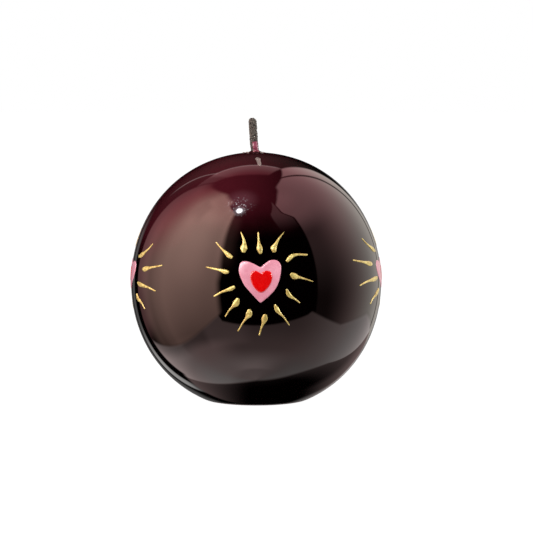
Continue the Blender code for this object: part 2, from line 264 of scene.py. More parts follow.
def left_box_trim(turn, rise):
    """Haze along the left box's front edge, how rosy the box is, and the fringe
    along its rear edge."""
    haze = (0.40 * step(turn, -16, -32) * step(turn, -44, -36)
            * step(rise, 66, 55) * step(rise, 8, 30))
    rosy = step(turn, -93, -130) * step(rise, -8, 42)
    fringe = ((0.34 + 0.26 * step(rise, -12, 0))
              * step(turn + 0.09 * (40 - larger(rise, 0)), -136.6, -133.6)
              * step(turn, -108, -128) * step(rise, -26, -16) * step(rise, 60, 48))
    return haze, rosy, fringe


def right_box(turn, rise):
    """Soft box on the right: dim low down at its front edge. Returns its
    brightness, its lower edge and the place of its front edge."""
    lateral = turn - 92
    past = larger(turn - 115, 0)
    before = larger(90 - turn, 0)
    top = 75.6 - 0.0111 * past * past - 0.0032 * before * before
    foot = larger(-25 + 0.0045 * larger(-lateral, 0) * larger(-lateral, 0)
                  + 0.27 * larger(lateral, 0), -40)
    foot = foot - larger(foot + 15, 0)
    # the back part and the front part, blended across the box
    back_level = 1.05 + 0.9 * step(rise, -10, 48)
    front_level = (0.08 + 0.40 * step(rise, -12, 34) + 1.50 * step(rise, 36, 56)
                   + 0.40 * step(rise, 57, 70))
    across_box = step(turn, 66, 122)
    level = back_level * across_box + front_level * (1 - across_box)
    # dimmer low at the rear
    level *= 1 - 0.22 * step(turn, 138, 160) * step(rise, 35, 0)
    # a thin dark slanting seam near the rear
    seam_at = turn - 149 - 0.11 * (60 - rise) + 0.45 * larger(2 - rise, 0)
    seam = (1 - 0.85 * step(seam_at, -2.0, -0.6) * step(seam_at, 2.0, 0.6)
            * step(rise, -23, -17))
    # front, rear, top and bottom edges
    edge_at = turn + 12.5 * step(rise, 52, 62)
    level *= step(edge_at, 56.4, 58.6)
    level *= step(turn, 164, 161.5)
    level *= step(rise - top, 1.5, -1.5)
    level *= step(rise - foot, -1.5, 1.5)
    level *= seam
    return level, foot, edge_at


def high_panel(turn, rise, edge_at):
    """Dim panel between the front gap and the right box, high up."""
    return (step(turn + 0.5 * (rise - 56), 23.5, 27) * step(edge_at, 56.0, 54.2)
            * step(rise, 42, 63) * step(rise - 62.5 - 0.66 * (turn - 26), 1.2, -1.2)
            * step(turn, 22, 26) * 0.80)


def table_below(x, y, z, turn, rise, far, left_foot, right_foot):
    """The table: brightest close in, darker below the gap and the boxes. Returns
    its brightness and how near neutral its colour is."""
    # its far edge follows the foot of each box, and a curve between them
    by_left = step(turn, -33, -37)
    by_right = step(turn, 50, 56)
    edge = (left_foot * by_left + right_foot * by_right
            + (-30.8 + 0.0039 * turn * turn) * (1 - by_left) * (1 - by_right))
    on_left = step(turn, -15, -60)
    shift = 40 * step(rise, -70, -40)
    on_right = step(turn - shift, -5, 62)
    # front: lightening downwards in two stages, then darker right below
    middle = 0.52 + 0.30 * step(rise, -25, -52) + 1.12 * step(rise, -50, -72)
    middle += 0.30 * step(rise, -50, -43) * step(turn, 0, -20)
    middle *= 1 - 0.34 * step(rise, -72.5, -77)
    # left: lighter below a curved line, in two far patches, darker right below
    left_table = 0.62 + 0.93 * step(rise + 38 - 0.006 * far * far, 0, -10)
    left_table += 0.30 * step(rise, -52, -42) * (step(turn, -88, -98)
                                                 + step(turn, -60, -50))
    left_table *= 1 - 0.22 * step(rise, -72, -82)
    right_table = 0.95 + 0.3 * step(rise, -62, -30)
    table = (middle * (1 - on_left) * (1 - on_right) + left_table * on_left
             + right_table * on_right)
    # the candle's own shade on it, behind: across and back are table positions
    down = larger(-z, 0.05)
    across, back = x / down, y / down
    to_right, to_left = larger(across, 0), larger(-across, 0)
    bound = (0.6 * to_right * to_right * to_right + 0.7 * larger(across - 0.9, 0)
             + to_left * (0.35 + 1.3 * to_left))
    deep = back - bound
    shade = step(deep, -0.035, 0.045)
    # light left in the shade: on the left, along its edge, at the right rear
    in_shade = (0.55 * step(across, -0.05, -0.62)
                + 0.03 * step(deep, 0.2, 0)
                + 0.42 * step(rise + 0.65 * larger(140 - turn, 0)
                              - 0.95 * larger(turn - 152, 0), -52, -16)
                * step(turn, 90, 106))
    table = table * (1 - shade) + in_shade * shade
    # cut off at the far edge, and at the left rear except close in
    table *= step(rise - edge, 1.2, -1.2)
    table *= step(rise, -12, -15)
    table *= larger(step(turn, -139, -136), step(rise, -40, -44))
    near = ((step(rise, -48, -68) * 0.10
             + 0.12 * larger(step(turn, -70, -110), step(turn, 40, 95))
             + 0.10 * step(turn, 88, 118)) * (1 - 0.75 * shade))
    return table, near


def behind(back_turn, rise):
    """A dark opening with a pale edge, and the strip above it. Returns the strip,
    how red it is, the pale lines and a faint veil in the opening."""
    roof = 50.3 - 0.0030 * back_turn * back_turn
    strip = (step(rise - roof, -0.8, 0.8)
             * step(back_turn, -47, -42) * step(back_turn, 18.5, 15.5)
             * step(rise - 66.5 + 0.005 * back_turn * back_turn, 2.5, -2.0)
             * (1 - 0.42 * step(rise, 50, 68)) * (1 - 0.55 * step(back_turn, -29, -36)))
    red_strip = step(rise, 53, 68)
    # line along the roof
    line = (step(rise - roof, -1.5, -0.3) * step(rise - roof, 1.7, 0.5)
            * step(back_turn, -31, -27) * step(back_turn, 17, 12)) * 0.75
    # slanting upright line at one side
    drop = back_turn + 27 + 0.16 * (48 - rise)
    veil = (0.055 * step(back_turn, -52, -30) * step(back_turn, 48, 24)
            * step(rise, 10, 38) * step(rise - roof, 1, -1))
    line += (step(drop, -1.6, -0.3) * step(drop, 1.6, 0.3)
             * step(rise, 20, 30) * step(rise, 49.5, 47.5)) * 0.80
    return strip, red_strip, line, veil


def rear_glints(turn, back_turn, rise):
    """Thin grey glints from behind: left rear, right rear and straight behind."""
    rim = (step(turn, -160, -156) * step(turn, -148, -151)
           * step(rise, -44, -36) * step(rise, 12, 2)
           * (0.22 + 0.95 * step(rise, -12, -27)))
    rim += (step(turn, 161, 164) * step(turn, 176, 169) * 0.26
            * step(rise, 10, 2) * step(rise, -23, -17))
    rim += (0.16 * step(rise, -36, -26) * step(rise, 8, -2)
            * step(back_turn, -20, -15) * step(back_turn, 17, 13))
    return rim


def studio(x, y, z, turn, rise, back_turn):
    """Red, green and blue brightness of the studio seen in a direction."""
    far = larger(-88 - turn, 0)
    left, left_foot = left_box(turn, rise)
    haze, rosy, fringe = left_box_trim(turn, rise)
    right, right_foot, edge_at = right_box(turn, rise)
    low = step(rise, 55, 0)
    white = step(turn, 78, 140) * step(rise, 55, 8)
    panel = high_panel(turn, rise, edge_at)
    table, near = table_below(x, y, z, turn, rise, far, left_foot, right_foot)
    strip, red_strip, line, veil = behind(back_turn, rise)
    rim = rear_glints(turn, back_turn, rise)

    def channel(left_tint, rosy_loss, right_tint, low_gain, white_gain, panel_tint,
                table_tint, strip_tint, strip_loss, rim_tint, haze_tint, fringe_tint,
                veil_tint, line_tint=0.75):
        """One channel, each part as a share of its red."""
        return (left * (left_tint - rosy_loss * rosy)
                + right * (right_tint + low_gain * low + white_gain * white)
                + panel * panel_tint + table * (table_tint + near)
                + strip * (strip_tint - strip_loss * red_strip)
                + line * line_tint + rim * rim_tint + haze * haze_tint
                + fringe * fringe_tint + veil * veil_tint)

    red = left + right + panel + table + strip + line + rim + haze + fringe + veil
    green = channel(left_tint=0.585, rosy_loss=0.33, right_tint=0.48, low_gain=0.14,
                    white_gain=0.30, panel_tint=0.50, table_tint=0.66,
                    strip_tint=0.50, strip_loss=0.29, rim_tint=0.97,
                    haze_tint=0.5, fringe_tint=0.45, veil_tint=0.75)
    blue = channel(left_tint=0.49, rosy_loss=0.21, right_tint=0.50, low_gain=0.10,
                   white_gain=0.24, panel_tint=0.52, table_tint=0.64,
                   strip_tint=0.52, strip_loss=0.25, rim_tint=0.95,
                   haze_tint=0.42, fringe_tint=0.46, veil_tint=0.68)
    return red, green, blue


# ------------------------------------------------------------------ materials
def painted_wax_glow(x, y, z):
    """Painted light: where the base colour is painted wine red, standing in for light scattered up
    through the wax, by place on the ball in millimetres:
    it fades downwards, to the right, over the front and at the far left."""
    low = 53.5 - 9 * step(x, -14, -33)
    return (step(z - low, 0, 13.5) * (1 - step(x, -14, 22))
            * (1 - 0.25 * step(y, -18, -4)) * (1 - 0.22 * step(x, -9, -24)))


def lacquered_wax():
    """Burgundy dip under clear lacquer: nearly black, with painted light: the base colour is painted
    wine red near the top, where light would get into the wax."""
    material, tree, shader, coords = new_material("lacquered_burgundy_wax")
    x, y, z = split(tree, coords)
    cloud = noise_of(tree, coords, scale=90.0, rough=0.55)
    fine = noise_of(tree, coords, scale=900.0, detail=2.0)
    # the cloud moves the painted glow's edge up and down by up to 3.5 mm
    glow = painted_wax_glow(x * 1000, y * 1000, z * 1000 + (cloud - 0.5) * 7.0)
    glow = glow * (0.90 + 0.20 * fine)
    # painted light: the base colour runs from nearly black to wine red with the painted glow
    base = mix_colour(tree, glow, (0.0009, 0.0002, 0.0003), (0.138, 0.0138, 0.0245))
    # the planed base shows the wax itself, dull and redder
    planed = step(z, 0.0003, 0.0001)
    base = mix_colour(tree, planed, base, (0.060, 0.006, 0.012))
    fill(tree, shader, {"Base Color": base,
                        "Roughness": 0.022 + 0.02 * fine + 0.40 * planed,
                        "IOR": 1.5})
    grain = noise_of(tree, coords, scale=2600.0, detail=2.0)
    put(tree, shader.inputs["Normal"],
        bump_of(tree, grain * (0.02 + planed), strength=0.25, distance=0.00002))
    return material


def white_wax():
    material, tree, shader, coords = new_material("planed_white_wax")
    cloud = noise_of(tree, coords, scale=320.0, detail=4.0, rough=0.6)
    base = mix_colour(tree, cloud, (0.80, 0.75, 0.66), (0.90, 0.87, 0.80))
    fill(tree, shader, {"Base Color": base, "Roughness": 0.42 + 0.25 * cloud,
                        "Subsurface Weight": 0.4,
                        "Subsurface Radius": (1.0, 0.8, 0.6),
                        "Subsurface Scale": 0.002})
    scrape = noise_of(tree, coords, scale=500.0, squash=(1.0, 9.0, 1.0))
    put(tree, shader.inputs["Normal"],
        bump_of(tree, scrape, strength=0.35, distance=0.00012))
    return material


def tinplate():
    material, tree, shader, coords = new_material("pressed_tinplate")
    blotch = noise_of(tree, coords, scale=450.0, detail=4.0, rough=0.6)
    base = mix_colour(tree, blotch, (0.44, 0.43, 0.41), (0.68, 0.68, 0.66))
    fill(tree, shader, {"Metallic": 1.0, "Base Color": base,
                        "Roughness": 0.24 + 0.3 * blotch})
    lines = noise_of(tree, coords, scale=900.0, detail=2.0, squash=(1.0, 14.0, 1.0))
    put(tree, shader.inputs["Normal"],
        bump_of(tree, lines, strength=0.2, distance=0.00005))
    return material


def thick_paint(name, dark, light, rough, ridge_squash, coat):
    """Brushed-on acrylic relief paint, glossy, with soft ridges."""
    material, tree, shader, coords = new_material(name)
    cloud = noise_of(tree, coords, scale=260.0, rough=0.55, distort=0.3)
    ridges = noise_of(tree, coords, scale=700.0, detail=2.0, distort=0.2,
                      squash=ridge_squash)
    base = mix_colour(tree, step(cloud * 0.7 + ridges * 0.3, 0.30, 0.72), dark, light)
    fill(tree, shader, {"Base Color": base, "Roughness": rough + 0.12 * (ridges - 0.5),
                        "Coat Weight": coat, "Coat Roughness": 0.08})
    put(tree, shader.inputs["Normal"],
        bump_of(tree, ridges * 0.6 + cloud * 0.4, strength=0.30, distance=0.00014))
    return material


def gold_paint():
    """Metallic gold paint: fine flake, with painted shade: darker in the brush's furrows."""
    material, tree, shader, coords = new_material("gold_relief_paint")
    flake = noise_of(tree, coords, scale=5200.0, detail=1.0)
    patch = noise_of(tree, coords, scale=900.0, rough=0.6, distort=0.4)
    # painted shade: the base colour is darker where the furrows of the bump lie low
    base = mix_colour(tree, step(patch, 0.30, 0.68), (0.34, 0.245, 0.050),
                      (0.66, 0.55, 0.17))
    base = mix_colour(tree, step(flake, 0.56, 0.74) * 0.4, base, (0.95, 0.90, 0.52))
    fill(tree, shader, {"Base Color": base, "Metallic": 0.35,
                        "Roughness": 0.30 + 0.22 * patch,
                        "Coat Weight": 0.35, "Coat Roughness": 0.12})
    put(tree, shader.inputs["Normal"],
        bump_of(tree, patch * 0.7 + flake * 0.3, strength=0.32, distance=0.00012))
    return material


def waxed_cotton():
    """Nearly black waxed yarn, flecked with paler specks."""
    material, tree, shader, coords = new_material("waxed_cotton")
    yarn = noise_of(tree, coords, scale=2600.0, detail=2.0, rough=0.6,
                    squash=(1.0, 1.0, 0.35))
    speck = noise_of(tree, coords, scale=6500.0, detail=2.0, rough=0.6)
    base = mix_colour(tree, step(yarn, 0.32, 0.68), (0.012, 0.0102, 0.0080),
                      (0.046, 0.039, 0.030))
    base = mix_colour(tree, step(speck, 0.60, 0.74) * 0.5, base, (0.14, 0.125, 0.096))
    fill(tree, shader, {"Base Color": base, "Roughness": 0.78,
                        "Sheen Weight": 0.15, "Sheen Roughness": 0.5})
    put(tree, shader.inputs["Normal"],
        bump_of(tree, yarn * 0.6 + speck * 0.4, strength=0.8, distance=0.00012))
    return material


def loose_cotton():
    material, tree, shader, coords = new_material("loose_cotton_fibre")
    cloud = noise_of(tree, coords, scale=3000.0, detail=2.0)
    base = mix_colour(tree, cloud, (0.34, 0.30, 0.23), (0.66, 0.61, 0.50))
    fill(tree, shader, {"Base Color": base, "Roughness": 0.85})
    put(tree, shader.inputs["Normal"],
        bump_of(tree, cloud, strength=0.3, distance=0.00002))
    return material


def wick_film():
    """Dyed wax drawn up the wick: glossy, pinkish where it is thin."""
    material, tree, shader, coords = new_material("wax_film_on_wick")
    x, y, z = split(tree, coords)
    cloud = noise_of(tree, coords, scale=1300.0, rough=0.6, distort=0.6)
    rise = step(z, CROWN + 0.0002, CROWN + 0.0022)
    base = mix_colour(tree, step(cloud + rise * 0.35, 0.45, 0.85),
                      (0.15, 0.016, 0.046), (0.26, 0.046, 0.085))
    base = mix_colour(tree, rise, (0.14, 0.010, 0.028), base)
    # a painted highlight: a thin pale streak on the front of the film
    slant = (x + 0.00103 - (z - (CROWN + 0.0022)) * 0.30).op("ABSOLUTE")
    painted_highlight_streak = (step(slant, 0.00024, 0.00007) * step(z, CROWN + 0.0015, CROWN + 0.0020)
              * step(z, CROWN + 0.0031, CROWN + 0.0026) * step(y, -0.0006, -0.0008))
    # the painted highlight streak is mixed into the film's base colour
    base = mix_colour(tree, painted_highlight_streak * 0.9, base, (0.66, 0.42, 0.45))
    fill(tree, shader, {"Base Color": base, "Roughness": 0.32 + 0.20 * cloud,
                        "Coat Weight": 0.2})
    put(tree, shader.inputs["Normal"],
        bump_of(tree, cloud, strength=0.5, distance=0.00025))
    return material


def drip_wax():
    """A satiny run of wax on the lacquer, painted pale partly as a highlight where the run catches
    light.
    """
    material, tree, shader, coords = new_material("wax_run_painted_highlight")
    cloud = noise_of(tree, coords, scale=1500.0, rough=0.6, distort=0.4)
    # painted highlight: the pale base colour stands in for the light the run and curls catch
    base = mix_colour(tree, step(cloud, 0.30, 0.70), (0.135, 0.105, 0.096),
                      (0.225, 0.180, 0.165))
    fill(tree, shader, {"Base Color": base, "Roughness": 0.30 + 0.2 * cloud})
    put(tree, shader.inputs["Normal"],
        bump_of(tree, cloud, strength=0.35, distance=0.00015))
    return material


WAX = lacquered_wax()
CORE = white_wax()
TIN = tinplate()
PINK = thick_paint("pink_relief_paint", dark=(0.60, 0.208, 0.279),
                   light=(0.69, 0.297, 0.377), rough=0.30,
                   ridge_squash=(1.0, 1.0, 0.30), coat=0.5)
RED = thick_paint("red_relief_paint", dark=(0.52, 0.0003, 0.0003),
                  light=(0.66, 0.0008, 0.0006), rough=0.14,
                  ridge_squash=(1.0, 1.0, 0.5), coat=0.6)
GOLD = gold_paint()
COTTON = waxed_cotton()
FIBRE = loose_cotton()
FILM = wick_film()
DRIP = drip_wax()


# --------------------------------------------------------------------- meshes
def build_piece(name, bm, material, node, sharp=60):
    """Turn a bmesh into a piece; edges over `sharp` degrees stay sharp, if any."""
    bmesh.ops.recalc_face_normals(bm, faces=bm.faces)
    mesh = bpy.data.meshes.new(name)
    bm.to_mesh(mesh)
    bm.free()
    mesh.materials.append(material)
    mesh.shade_smooth()
    if sharp:
        mesh.set_sharp_from_angle(angle=math.radians(sharp))
    piece = bpy.data.objects.new(name, mesh)
    bpy.context.scene.collection.objects.link(piece)
    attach(piece, "root")
    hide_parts(node)


def lathe(profile, segments, shape):
    """Turn a closed profile of (radius, z) about Z; shape moves each point."""
    bm = bmesh.new()
    rings = [[bm.verts.new(shape(around(radius, 2 * math.pi * k / segments, z), i))
              for k in range(segments)]
             for i, (radius, z) in enumerate(profile)]
    for one, two in zip(rings, rings[1:] + rings[:1]):
        for k in range(segments):
            j = (k + 1) % segments
            bm.faces.new((one[k], two[k], two[j], one[j]))
    return bm


def skin(bm, rings):
    """Join rings of vertices into a tube closed at both ends."""
    sides = len(rings[0])
    for one, two in zip(rings, rings[1:]):
        for k in range(sides):
            j = (k + 1) % sides
            bm.faces.new((one[k], one[j], two[j], two[k]))
    bm.faces.new(list(reversed(rings[0])))
    bm.faces.new(rings[-1])


def tube(bm, path, radii, sides, swell=None):
    """Sweep a round section along points; swell(i, k) may scale each radius."""
    rings = []
    up = Vector((0.31, 0.95, 0.05))
    for i, point in enumerate(path):
        ahead = path[min(i + 1, len(path) - 1)] - path[max(i - 1, 0)]
        ahead.normalize()
        side = ahead.cross(up).normalized()
        up = side.cross(ahead).normalized()
        rings.append([bm.verts.new(point + (side * math.cos(2 * math.pi * k / sides)
                                            + up * math.sin(2 * math.pi * k / sides))
                                   * radii[i] * (swell(i, k) if swell else 1.0))
                      for k in range(sides)])
    skin(bm, rings)


# --------------------------------------------------------- shell, core and foot
# Radii of the close rings of the shell round the wick
CROWN_ROWS = (0.00118, 0.00124, 0.00132, 0.00142, 0.00156, 0.00174, 0.00196,
              0.00222, 0.00254, 0.00292, 0.00338, 0.00392, 0.00455, 0.00530)
COLLAR_HIGH = 0.00070       # wax drawn up round the wick
COLLAR_FADE = 0.00058       # distance over which the collar falls away
WETTED_ROWS = 10            # rings that carry the collar's beads and dents
OUTER_STEPS = 168
INNER_STEPS = 30


def ripple(point, amount):
    """Slow waves that dipping leaves in the surface."""
    x, y, z = point
    broad = noise.noise(Vector((x * 62, y * 62, z * 62 + 3.1)))
    short = noise.noise(Vector((x * 150 + 7, y * 150, z * 150)))
    return amount * (0.8 * broad + 0.2 * short)


def wax_shell():
    # outer surface, from the wick down
    base = base_polar()
    start = math.asin(CROWN_ROWS[-1] / ball_radius(0.0))
    polars = [math.asin(row / ball_radius(0.0)) for row in CROWN_ROWS[:-1]]
    polars += [start + (base - start) * i / OUTER_STEPS for i in range(OUTER_STEPS)]
    profile = []
    for polar in polars:
        radius, z = profile_point(polar)
        collar = COLLAR_HIGH * math.exp(-max(0.0, radius - CROWN_ROWS[0]) / COLLAR_FADE)
        profile.append((radius, z + collar))
    outer = len(profile)
    # rounded lower edge and flat base
    foot = ball_radius(base) * math.sin(base)
    for share in (0.85, 0.62, 0.42, 0.25, 0.12, 0.0):
        profile.append((foot + 0.00030 * (share - 0.4), 0.00045 * share * share))
    profile += [(foot - inset, 0.0) for inset in (0.0006, 0.0016, 0.003)]
    # inner surface, back up to the wick
    inner_base = base_polar(SHELL_THICK)
    inner_foot = profile_point(inner_base, SHELL_THICK)[0]
    profile += [(inner_foot + 0.0002, 0.0), (inner_foot, 0.0002)]
    for i in range(1, INNER_STEPS + 1):
        polar = inner_base + (0.05 - inner_base) * i / INNER_STEPS
        profile.append(profile_point(polar, SHELL_THICK))
    profile.append((0.00112, CROWN - 0.0012))

    def shape(point, i):
        if i < outer:
            outward = Vector((point.x, point.y, point.z - BALL_MID_Z)).normalized()
            high = smooth((point.z - 0.055) / 0.022)
            off_wick = smooth((math.hypot(point.x, point.y) - 0.004) / 0.008)
            point = point + outward * ripple(point,
                                             0.000012 + 0.000050 * high * off_wick)
            if i < WETTED_ROWS:
                angle = math.atan2(point.x, -point.y)
                point.z += (0.00007 * math.sin(3 * angle + 1.0)
                            + 0.00004 * math.sin(7 * angle))
        pull = 1 - smooth(math.hypot(point.x, point.y) / 0.009)
        if point.z > BALL_MID_Z:
            point.x -= CROWN_SHIFT * pull
        return point

    build_piece("lacquered_wax_shell", lathe(profile, 300, shape), WAX,
                "burgundy_wax_shell")


# Radius and z of the core's underside: flat, recess for the foot plate, wick bore
CORE_UNDERSIDE = (
    (0.0094, 0.00004), (0.0084, 0.00005), (0.00790, 0.00007), (0.00780, 0.00016),
    (0.00778, 0.00080), (0.00760, 0.00090), (0.0050, 0.00092), (0.0025, 0.00090),
    (0.0021, 0.0010), (0.0021, 0.0046), (0.0016, 0.0054))
CORE_STEPS = 40


def wax_core():
    inset = SHELL_THICK + 0.00005
    start, base = 0.055, base_polar(inset)
    profile = [(0.0016, BALL_MID_Z + ball_radius(0.0) - inset - 0.0004)]
    for i in range(CORE_STEPS + 1):
        profile.append(profile_point(start + (base - start) * i / CORE_STEPS, inset))
    profile[-1] = (profile[-1][0] - 0.0001, 0.00005)
    profile += CORE_UNDERSIDE

    def shape(point, i):
        if point.z < 0.0003:        # the planed underside is slightly uneven
            point.z += 0.00002 * noise.noise(Vector((point.x * 500, point.y * 500, 0)))
            point.z = max(point.z, 0.00001)
        return point

    build_piece("pressed_wax_core", lathe(profile, 128, shape), CORE,
                "white_wax_core", sharp=35)


# Radius and z round the sustainer's section: neck, plate top, rim, underside
SUSTAINER = (
    (0.00140, 0.00450), (0.00152, 0.00458), (0.00176, 0.00455), (0.00180, 0.00440),
    (0.00180, 0.00110), (0.00188, 0.00082), (0.00215, 0.00064), (0.0030, 0.00060),
    (0.0040, 0.00060), (0.0046, 0.00070), (0.0050, 0.00070), (0.0056, 0.00060),
    (0.0068, 0.00060), (0.00715, 0.00064), (0.00740, 0.00060), (0.00750, 0.00048),
    (0.00742, 0.00034), (0.00715, 0.00030), (0.0068, 0.00033), (0.0056, 0.00033),
    (0.0050, 0.00043), (0.0046, 0.00043), (0.0040, 0.00033), (0.0030, 0.00033),
    (0.0021, 0.00038), (0.00165, 0.00062), (0.00150, 0.00110))


def sustainer():
    """Foot plate with a rolled rim, a pressed ring, and a neck crimped in four."""
    profile = []
    for (r0, z0), (r1, z1) in zip(SUSTAINER, SUSTAINER[1:] + SUSTAINER[:1]):
        steps = 8 if abs(z1 - z0) > 0.002 else 2
        for i in range(steps):
            profile.append((r0 + (r1 - r0) * i / steps, z0 + (z1 - z0) * i / steps))

    def shape(point, i):
        if point.z > 0.0014 and math.hypot(point.x, point.y) < 0.002:
            angle = math.atan2(point.y, point.x)
            squeeze = (smooth((point.z - 0.0018) / 0.0010)
                       * smooth((0.0043 - point.z) / 0.0008))
            scale = 1 - 0.07 * squeeze * max(0.0, math.cos(4 * angle)) ** 3
            point.x *= scale
            point.y *= scale
        return point

    build_piece("tinplate_sustainer", lathe(profile, 96, shape), TIN,
                "wick_sustainer", sharp=40)


# ------------------------------------------------------------------- the wick
# The wick's sideways lean (x) at heights above the crown
LEAN_Z = np.array([-60, -6, -3, -1.2, 0, 1.55, 3.5, 5.45, 7.35, 9.25, 11.4]) * MM
LEAN_X = np.array([0, 0, -.04, -.16, -.27, -.52, -.74, -.86, -.98, -1.10, -1.15]) * MM

BRAID_PITCH = 0.0062
BRAID_LOW = CROWN - 0.0022
STRANDS = 8
STRAND_STEPS = 84
STRAND_SIDES = 12
FIBRES = 420
FIRST_TIP_FIBRE = 360       # the fibres from here on sprout from the tip
FILM_LOW = 0.0004           # how far the film starts below the crown
FILM_TOP = CROWN + 0.00350
FILM_SIDES, FILM_ROWS = 60, 40
FRONT_LOBE = 0.26
FILM_LOBES = (FRONT_LOBE, 2.65, -2.75)      # angles round the wick


def wick_axis(z):
    """The wick's centre at a height, its lean averaged over nearby heights."""
    total = 0.0
    for offset in (-0.6, -0.3, 0.0, 0.3, 0.6):
        total += float(np.interp(z - CROWN + offset * MM, LEAN_Z, LEAN_X))
    return Vector((total / 5, 0.0, z))


def wick_cord():
    """The cord inside the ball, and the heart of the braid above it."""
    heights = [0.0006, 0.02, 0.04, 0.06, 0.074]
    heights += [CROWN - 0.004 + i * 0.0008 for i in range(19)]
    heights = [z for z in heights if z < WICK_TIP - 0.0007] + [WICK_TIP - 0.0006]
    radii = [0.00112 if z < CROWN - 0.002 else 0.00096 for z in heights]
    radii[-1] = 0.00045
    bm = bmesh.new()
    tube(bm, [wick_axis(z) for z in heights], radii, 20)
    build_piece("wick_inner_cord", bm, COTTON, "cotton_wick", sharp=0)


def wick_strand(strand):
    """One braid strand; half of them turn each way, passing over and under."""
    way = 1 if strand < 4 else -1
    offset = math.pi / 2 * (strand % 4) + (math.pi / 4 if way < 0 else 0.0)
    end = WICK_TIP - 0.00012 - 0.0002 * (strand % 3)
    path, radii = [], []
    for i in range(STRAND_STEPS + 1):
        share = i / STRAND_STEPS
        z = BRAID_LOW + (end - BRAID_LOW) * share
        turn = 2 * math.pi * (z - BRAID_LOW) / BRAID_PITCH
        close = 1 - smooth((share - 0.92) / 0.08) * 0.50
        weave = 0.00008 * math.sin(4 * turn + (0 if way > 0 else math.pi))
        wander = 0.00004 * noise.noise(Vector((strand * 3.7, z * 900, 0.0)))
        radius = (0.00086 + weave + wander) * close
        path.append(wick_axis(z) + around(radius, way * turn + offset))
        radii.append((0.00042 + 0.00003 * math.sin(z * 5200 + strand))
                     * (1 - 0.45 * smooth((share - 0.96) / 0.04)))

    def yarns(i, k):
        """Each strand is itself twisted from three yarns."""
        return 1 + 0.10 * math.cos(3 * (2 * math.pi * k / STRAND_SIDES + i * 0.30)
                                   + strand)

    bm = bmesh.new()
    tube(bm, path, radii, STRAND_SIDES, yarns)
    build_piece("wick_strand_%d" % (strand + 1), bm, COTTON, "cotton_wick",
                sharp=0)


def wick_fibres():
    """Loose fibres round the braid and at its tip, fewer near the ball."""
    rng = np.random.default_rng(11)
    bm = bmesh.new()
    for i in range(FIBRES):
        z = CROWN + 0.0008 + (WICK_TIP - CROWN - 0.0010) * rng.random()
        if z < CROWN + 0.0040 and rng.random() < 0.5:
            continue
        at_tip = i >= FIRST_TIP_FIBRE
        if at_tip:
            z = WICK_TIP - 0.0010 * rng.random()
        out = around(1.0, 2 * math.pi * rng.random())
        along = Vector((-out.y, out.x, 0)) * rng.uniform(-1, 1) + Vector(
            (0, 0, rng.uniform(-0.9, 1.2)))
        root = wick_axis(z) + out * (0.0008 * rng.random() if at_tip else 0.00125)
        length = rng.uniform(0.0003, 0.0008) * (0.6 if at_tip else 1.0)
        lift = rng.uniform(0.08, 0.26) * (0.5 if at_tip else 1.0)
        path = []
        for k in range(5):
            share = k / 4
            path.append(root + along * (length * share * 0.7)
                        + out * (length * lift * math.sin(share * 2.4))
                        + Vector((0, 0, length * share * (0.35 if at_tip else 0.15))))
        thick = rng.uniform(0.000014, 0.000026)
        tube(bm, path, [thick * taper for taper in (1, 1, 0.9, 0.75, 0.4)], 4)
    build_piece("wick_loose_fibres", bm, FIBRE, "cotton_wick", sharp=0)


def wick_foot_film():
    """The wax drawn up round the wick's foot, in three lobes."""
    bm = bmesh.new()
    rings = []
    for i in range(FILM_ROWS + 1):
        share = i / FILM_ROWS
        z = CROWN - FILM_LOW + (FILM_TOP - CROWN + FILM_LOW) * share
        centre = wick_axis(z)
        foot = 1 - smooth((z - CROWN) / 0.0007)
        skirt = 1 - smooth((z - CROWN + 0.0002) / 0.0012)
        ring = []
        for k in range(FILM_SIDES):
            angle = 2 * math.pi * k / FILM_SIDES
            lobe = max(math.cos(angle - middle) for middle in FILM_LOBES)
            cover = max(smooth((lobe - 0.70) / 0.14), foot)
            bead = noise.noise(Vector((angle * 1.6, z * 1300, 4.0)))
            front = smooth((math.cos(angle - FRONT_LOBE) - 0.55) / 0.25)
            radius = (0.00100 + 0.00044 * cover + 0.00005 * bead * cover
                      + 0.00006 * foot + 0.00040 * front * skirt)
            if i == FILM_ROWS:
                radius = 0.0009
            edge = 0.00016 * noise.noise(Vector((math.sin(angle) * 2,
                                                 math.cos(angle) * 2, 1)))
            ring.append(bm.verts.new(
                centre + around(radius, angle, edge * smooth(share * 3 - 2))))
        rings.append(ring)
    skin(bm, rings)
    build_piece("wick_wax_film", bm, FILM, "cotton_wick", sharp=50)


# ------------------------------------------------- pale wax on the ball's top, partly painted highlight
# Pale curls round the wick's foot, painted highlight on the collar's edge: start and end angle,
# radius in mm, seed
HIGHLIGHT_CURLS = ((-2.2, -0.75, 2.9, 1.0), (0.62, 1.75, 2.6, 5.0), (-2.0, -1.2, 3.9, 9.0))
RUN_STEPS = 32
CURL_STEPS = 24
BEAD_SIDES = 14


def surface_bead(bm, path, halves, high):
    """A bead of wax on top of the ball; x, y path, half widths and height in mm."""
    rings = []
    for i, (x, y) in enumerate(path):
        last, following = path[max(i - 1, 0)], path[min(i + 1, len(path) - 1)]
        ahead = Vector((following[0] - last[0], following[1] - last[1])).normalized()
        across = Vector((-ahead.y, ahead.x))
        ring = []
        for k in range(BEAD_SIDES):
            angle = 2 * math.pi * k / BEAD_SIDES
            place = Vector((x, y)) + across * (halves[i] * math.cos(angle))
            away = place.length
            polar = math.asin(away * MM / ball_radius(away * MM / 0.0405))
            # full height above the surface, a shallow root below it
            lift = (high if angle < math.pi else 0.12) * math.sin(angle)
            lift *= min(1.0, halves[i] / 0.10)
            radius = ball_radius(polar) + lift * MM
            pull = CROWN_SHIFT * (1 - smooth(away / 9.0))
            ring.append(bm.verts.new((radius * math.sin(polar) * place.x / away - pull,
                                      radius * math.sin(polar) * place.y / away,
                                      BALL_MID_Z + radius * math.cos(polar))))
        rings.append(ring)
    skin(bm, rings)


